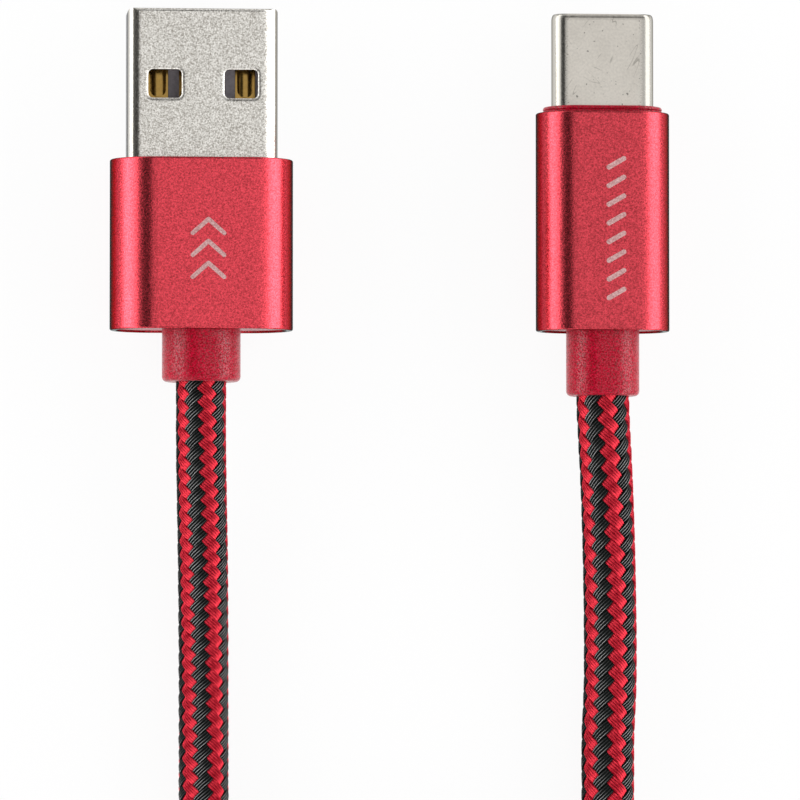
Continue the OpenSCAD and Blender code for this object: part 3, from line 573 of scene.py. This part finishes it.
# Twist of the columns at each end, in degrees and degrees a millimetre, and how far in it reaches
A_COLUMN, A_TWIST, C_COLUMN, C_TWIST, TWISTED = 24.5, -0.61, -32.1, 0.41, 60
# The ends are woven finely for this length, and stick this far into the necks. The rest is coarser,
# in three pieces. A strand has so many steps a millimetre, and so many threads.
NEAR, SUNK, COIL_PIECES = 36.0, 0.6, 3
FINE_STEPS, COARSE_STEPS, THREADS = 6.5, 3, 4


def pace(s):
    """Length along the cord as the strands count it."""
    return s + CLOSER * FADE * np.tanh(s / FADE) - WIDER * FADE * np.tanh((s - LENGTH) / FADE)


def mid_radius(s):
    """Where the strands cross."""
    return MID_RADIUS * (1 + FULLER * ease(np.clip((s - LENGTH + SWELL_START) / SWELL_LENGTH, 0, 1)))


def column_centre(s):
    """The angle of the first black column."""
    by_a = A_COLUMN + A_TWIST * np.minimum(s, TWISTED)
    by_c = C_COLUMN + C_TWIST * np.minimum(LENGTH - s, TWISTED)
    share = ease(np.clip((s - TWISTED) / (LENGTH - 2 * TWISTED), 0, 1))
    return np.radians(by_a + (by_c - by_a) * share)


def thread_rows(depth, fine):
    """Places across a strand and their heights: round threads side by side, edges tucked under."""
    turns = (0, 0.15, 0.5, 0.85) if fine else (0, 0.5)
    rows = [(i + t, depth * math.sqrt(1 - (2 * t - 1) ** 2)) for i in range(THREADS) for t in turns]
    return [(-0.25, -TUCK), *rows, (THREADS, 0), (THREADS + 0.25, -TUCK)]


def braid(name, finish, handed, width, depth, start, stop, fine=True):
    """Weaves the strands of one colour onto the cord between two lengths along it."""
    per_mm = FINE_STEPS if fine else COARSE_STEPS
    rows = thread_rows(depth, fine)
    phases, heights = (np.array(values) for values in zip(*rows))
    shape = bmesh.new()
    for strand in range(STRANDS):
        bmesh.ops.create_grid(
            shape, x_segments=int((stop - start) * per_mm), y_segments=len(rows) - 1, size=0.5,
            matrix=Matrix.Translation((0, 0, strand)),
        )
    mesh = bpy.data.meshes.new(name)
    shape.to_mesh(mesh)
    shape.free()
    flat = np.zeros(len(mesh.vertices) * 3, np.float32)
    mesh.vertices.foreach_get("co", flat)
    flat = flat.reshape(-1, 3).astype(float)
    row = np.rint((flat[:, 1] + 0.5) * (len(rows) - 1)).astype(int)
    strand = np.rint(flat[:, 2])
    phase, lift = phases[row], heights[row]
    # slow waves of a hundredth of a millimetre keep the strands from lying exactly alike
    s0 = start + (flat[:, 0] + 0.5) * (stop - start)
    wander = 0.012 * np.sin(2.1 * s0 + 2.4 * strand) + 0.01 * np.sin(5.3 * s0 + phase + strand)
    q = (phase / THREADS - 0.5) * width + wander
    slope = math.atan(MID_RADIUS * CLIMB)
    s = s0 - handed * q * math.sin(slope)
    column = column_centre(s)
    turned = handed * CLIMB * pace(s0) + (strand + SHIFT) * APART + q * math.cos(slope) / MID_RADIUS
    crossed = (turned + handed * CLIMB * pace(s)) / APART - SHIFT
    weave = COLUMNS * ((strand + crossed) / 2 + SHIFT) * APART
    show = handed * np.cos(weave)
    # the side of each float that painted light falls on, turned round between the cord's ends so that it
    # comes from the same side at both plugs
    painted_light_side = np.sin(weave) * np.tanh((LENGTH / 2 - s0) / FADE)
    height = WAVE * show * (1.5 - 0.5 * show * show) + 0.012 * np.sin(3.7 * s0 + 1.7 * strand)
    radius = mid_radius(s) + height + lift * (0.7 + 0.3 * np.clip(show, 0, 1))
    co = on_cord(s, turned + column, radius) * MM
    mesh.vertices.foreach_set("co", co.astype(np.float32).ravel())
    corner = np.zeros(len(mesh.loops), np.int32)
    mesh.loops.foreach_get("vertex_index", corner)
    for layer, u, v in (("strand", s0, phase + strand * 7), ("rise", show, painted_light_side)):
        mapped = np.stack([u, v], 1)[corner].astype(np.float32)
        mesh.uv_layers.new(name=layer).data.foreach_set("uv", mapped.ravel())
    mesh.update()
    mesh.shade_smooth()
    return riding(name, mesh, finish)


def woven(colour, *kind):
    """The strands of one colour, in a piece by each plug and some along the coil."""
    far_stop = LENGTH - NEAR
    yield braid(f"{colour}_braid_by_usb_a", *kind, -SUNK, NEAR)
    for i in range(COIL_PIECES):
        first = NEAR + (far_stop - NEAR) * i / COIL_PIECES
        last = NEAR + (far_stop - NEAR) * (i + 1) / COIL_PIECES
        yield braid(f"{colour}_braid_in_coil_{i + 1}", *kind, first, last, fine=False)
    yield braid(f"{colour}_braid_by_usb_c", *kind, far_stop, LENGTH + SUNK)


strands = [*woven("black", black_yarn, 1, 0.82, 0.1), *woven("red", red_yarn, -1, 0.80, 0.08)]

core_curve = bpy.data.curves.new("cord_core", "CURVE")
core_curve.dimensions = "3D"
core_curve.bevel_depth = CORE_RADIUS * MM
core_curve.bevel_resolution = 2
core_curve.use_fill_caps = True
core_points = np.vstack([route[:-1:3], route[-1]])
spline = core_curve.splines.new("POLY")
spline.points.add(len(core_points) - 1)
for point, place in zip(spline.points, core_points):
    point.co = (*(place * MM), 1)
core = riding("cord_core", core_curve, painted_shade_dark)
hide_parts("cord_run_usb_a", "cord_coil", "cord_run_usb_c")


# ------------------------------------------------------------------ the tie

TIE_OVERLAP = 9.0
RIB_STEP, RIB_RISE, PICK_STEP = 0.55, 0.022, 0.9
# The band's section is a flat oval: how much its corners are squared, how steeply it rises, its
# height as a share of a ply, and how wide and how much thicker its edges are
SQUARED, STEEP, BODY, EDGE_WIDE, EDGE_SLOPE = 0.35, 2.2, 0.38, 0.9, 0.25
STEPS_ALONG, STEPS_ROUND = 300, 132


def webbing():
    """Black narrow fabric."""
    f = Finish("webbing", (0.012, 0.012, 0.014), roughness=0.6, Specular_IOR_Level=0.3)
    at = f.place()
    fluff = f.noise(at, 5200, 3, 0.65)
    f.give("Base Color", f.blend(
        f.spread(fluff, 0.35, 0.65), (0.006, 0.006, 0.007, 1), (0.04, 0.04, 0.043, 1)
    ))
    f.give("Normal", f.bump(fluff, 0.03 * MM, 0.6))
    return f.material


def way_round(rest, flat_y, flat_z, bend):
    """Where a length along the tie lies, and its heading: along the top, down, back and up."""
    corner = math.pi * bend / 2
    y, z, heading = -flat_y / 2, flat_z / 2 + bend, 0.0
    for run in (flat_y, corner, flat_z, corner, flat_y, corner, flat_z, corner):
        part = min(rest, run)
        rest -= part
        if run == corner:
            turn = part / bend
            y += bend * (math.sin(heading + turn) - math.sin(heading))
            z += bend * (math.cos(heading + turn) - math.cos(heading))
            heading += turn
        else:
            y += part * math.cos(heading)
            z -= part * math.sin(heading)
        if rest <= 0:
            break
    return y, z, heading


def strap():
    """The woven tie: one band round the coil that ends over its own start."""
    box = [Vector(corner) / MM for corner in nodes["coil_tie"].bound_box]
    low, high = (Vector([pick(corner[k] for corner in box) for k in range(3)]) for pick in (min, max))
    middle, half = (low + high) / 2, (high - low) / 2
    ply, bend = TIE / 2, CORD / 2 + TIE / 2
    flat_y, flat_z = 2 * (half.y - TIE / 2 - bend), 2 * (half.z - TIE / 2 - bend)
    loop = 2 * flat_y + 2 * flat_z + 4 * (math.pi * bend / 2)
    shape = bmesh.new()
    bmesh.ops.create_grid(shape, x_segments=STEPS_ALONG, y_segments=STEPS_ROUND, size=0.5)
    for v in shape.verts:
        u = v.co.x + 0.5
        far = u * (loop + TIE_OVERLAP)
        turned = 2 * math.pi * (v.co.y + 0.5)
        across = half.x * math.copysign(abs(math.cos(turned)) ** SQUARED, math.cos(turned))
        edge = 1 + EDGE_SLOPE * max(0, abs(across) - half.x + EDGE_WIDE)
        ribs = math.cos(2 * math.pi * across / RIB_STEP)
        picks = math.cos(2 * math.pi * far / PICK_STEP + (math.pi if ribs < 0 else 0))
        face = math.copysign(min(1, STEEP * abs(math.sin(turned))), math.sin(turned))
        out = face * (BODY * ply * edge + RIB_RISE * abs(ribs) * picks) + ply * (u - 0.5)
        y, z, heading = way_round(far % loop, flat_y, flat_z, bend)
        v.co = (
            middle.x + across, middle.y + y + out * math.sin(heading), middle.z + z + out * math.cos(heading)
        )
    bmesh.ops.remove_doubles(shape, verts=shape.verts, dist=1e-5)
    bmesh.ops.holes_fill(shape, edges=[e for e in shape.edges if e.is_boundary], sides=0)
    return shape


strap_mesh = mesh_of("coil_strap", strap())
strap_mesh.shade_smooth()
tie = riding("coil_strap", strap_mesh, webbing())
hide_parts("coil_tie")


# ------------------------------------------------------------------ etched marks

# Sizes and steps of the strokes, and how far right of each plug's middle they are
CHEVRONS, CHEVRON_START, CHEVRON_STEP, CHEVRON_X = 3, 17.0, 1.75, 0.35
CHEVRON_WIDE, CHEVRON_LONG, CHEVRON_STROKE = 1.25, 1.1, 0.36
DASHES, DASH_START, DASH_STEP, DASH_STROKE = 8, 12.2, 1.5, 0.4
DASH_LEFT, DASH_RIGHT, DASH_TILT = 0.15, 1.35, 0.35


def etched():
    """Bare metal where the red layer is etched away."""
    f = Finish("etched_silver", (0.6, 0.36, 0.36), metallic=0.5, roughness=0.5)
    at = f.place()
    grain = f.noise(at, 7000, 2, 0.7)
    f.give("Base Color", f.blend(f.spread(grain, 0.35, 0.65), (0.44, 0.2, 0.2, 1), (0.7, 0.46, 0.45, 1)))
    f.give("Normal", f.bump(grain, 0.01 * MM, 0.5))
    return f.material


def bar(shape, start, end, width, z):
    """A flat stroke with round ends, lying at a height."""
    a, b = Vector((*start, z)), Vector((*end, z))
    turn = Matrix.Rotation(math.atan2((b - a).y, (b - a).x), 4, "Z")
    made = bmesh.ops.create_circle(
        shape, cap_ends=True, segments=20, radius=width / 2, matrix=Matrix.Translation(a) @ turn
    )
    reach = (b - a).length
    inverse = (Matrix.Translation(a) @ turn).inverted()
    for v in made["verts"]:
        if (inverse @ v.co).x > 1e-6:
            v.co += (b - a).normalized() * reach


def chevrons():
    """Arrowheads that point at the tip. Each one's two strokes differ a hair in height."""
    shape = bmesh.new()
    x = A_X + CHEVRON_X
    for i in range(CHEVRONS):
        y = TIP_Y - CHEVRON_START - CHEVRON_STEP * i
        for hand in (-1, 1):
            lift = 0.005 + 0.001 * hand
            end = (x + hand * CHEVRON_WIDE, y - CHEVRON_LONG)
            bar(shape, (x, y), end, CHEVRON_STROKE, A_TOP + lift)
    return shape


def dashes():
    """A row of slanted strokes down the housing."""
    shape = bmesh.new()
    for i in range(DASHES):
        y = TIP_Y - DASH_START - DASH_STEP * i
        left, right = (C_X + DASH_LEFT, y - DASH_TILT), (C_X + DASH_RIGHT, y + DASH_TILT)
        bar(shape, left, right, DASH_STROKE, C_TOP + 0.004)
    return shape


silver = etched()
riding("chevrons", mesh_of("chevrons", chevrons()), silver)
riding("dashes", mesh_of("dashes", dashes()), silver)


# ------------------------------------------------------------------ floor and light

# The floor in millimetres, its drop under the cable included, and the lamps in metres
FLOOR_RADIUS, WALL_HEIGHT, FLOOR_DROP = 15000, 2500, 0.02
LAMP_DISTANCE, LAMP_AIM = 0.8, (0, -0.016, 0)
WALLS_PALE, CEILING_DARK = 0.65, 0.06


def paper():
    """White floor that keeps the shadows and shows white to the camera and in the metal."""
    f = Finish("paper", (0.9, 0.9, 0.9), roughness=0.9)
    camera_ray, glossy_ray, clear_ray = (
        f.node("ShaderNodeLightPath", out=f"Is {kind} Ray") for kind in ("Camera", "Glossy", "Transmission")
    )
    glow = f.node("ShaderNodeEmission", {}, {"Color": (1, 1, 1, 1), "Strength": 1.0})
    share = (camera_ray + glossy_ray + clear_ray).held() * 0.92
    mixed = f.node("ShaderNodeMixShader", {}, {0: share, 1: Signal(f, f.shader.outputs[0]), 2: glow})
    f.tree.links.new(mixed.socket, f.tree.nodes["Material Output"].inputs["Surface"])
    return f.material


def ground():
    """A round floor under the cable with a low wall at its far edge."""
    shape = bmesh.new()
    bmesh.ops.create_circle(
        shape, cap_ends=True, segments=64, radius=FLOOR_RADIUS,
        matrix=Matrix.Translation((0, 0, -FLOOR_DROP)),
    )
    rim = [e for e in shape.edges if e.is_boundary]
    wall = bmesh.ops.extrude_edge_only(shape, edges=rim)
    for v in [g for g in wall["geom"] if isinstance(g, bmesh.types.BMVert)]:
        v.co.z += WALL_HEIGHT
    return shape


floor = added("floor", mesh_of("floor", ground()), paper())


def softbox(name, first, last, length, radiance, swing=0.0):
    """A rectangular lamp over the cable, between two angles from straight above towards +X, or
    towards another side when the whole stand is swung about the vertical."""
    wide = 2 * LAMP_DISTANCE * math.tan(math.radians(last - first) / 2)
    lamp = bpy.data.lights.new(name, "AREA")
    lamp.shape = "RECTANGLE"
    lamp.size, lamp.size_y = wide, length
    lamp.energy = radiance * math.pi * wide * length
    stand = bpy.data.objects.new(name, lamp)
    bpy.context.scene.collection.objects.link(stand)
    turned = math.radians(first + last) / 2
    back = Vector((math.sin(turned), 0, math.cos(turned)))
    across = Vector((0, 1, 0)).cross(back)
    facing = Matrix((across, back.cross(across), back)).transposed().to_4x4()
    around = Matrix.Rotation(math.radians(swing), 4, "Z")
    away = Matrix.Translation(back * LAMP_DISTANCE)
    stand.matrix_world = Matrix.Translation(LAMP_AIM) @ around @ away @ facing


softbox("overhead", -13, 53, 0.6, 0.93)
softbox("left_low", -90, -64, 2.2, 3.15)
softbox("left_high", -64, -50, 2.2, 1.8)
softbox("right", 53, 90, 2.2, 2.95)
softbox("foot", 28, 60, 0.9, 1.0, swing=-90)


def studio():
    """The room round the lamps: pale walls under a dark ceiling."""
    world = bpy.data.worlds.new("studio")
    bpy.context.scene.world = world
    world.use_nodes = True
    room = Shading(world.node_tree)
    way = room.node("ShaderNodeTexCoord", out="Generated")
    upward = room.node("ShaderNodeSeparateXYZ", {}, {0: way}, out="Z")
    level = room.spread(upward, 0.55, 0.8, WALLS_PALE, CEILING_DARK)
    background = room.tree.nodes["Background"]
    background.inputs["Color"].default_value = (1, 1, 1, 1)
    room.tree.links.new(level.socket, background.inputs["Strength"])


studio()
bpy.context.scene.view_settings.view_transform = "Standard"

bpy.context.view_layer.update()
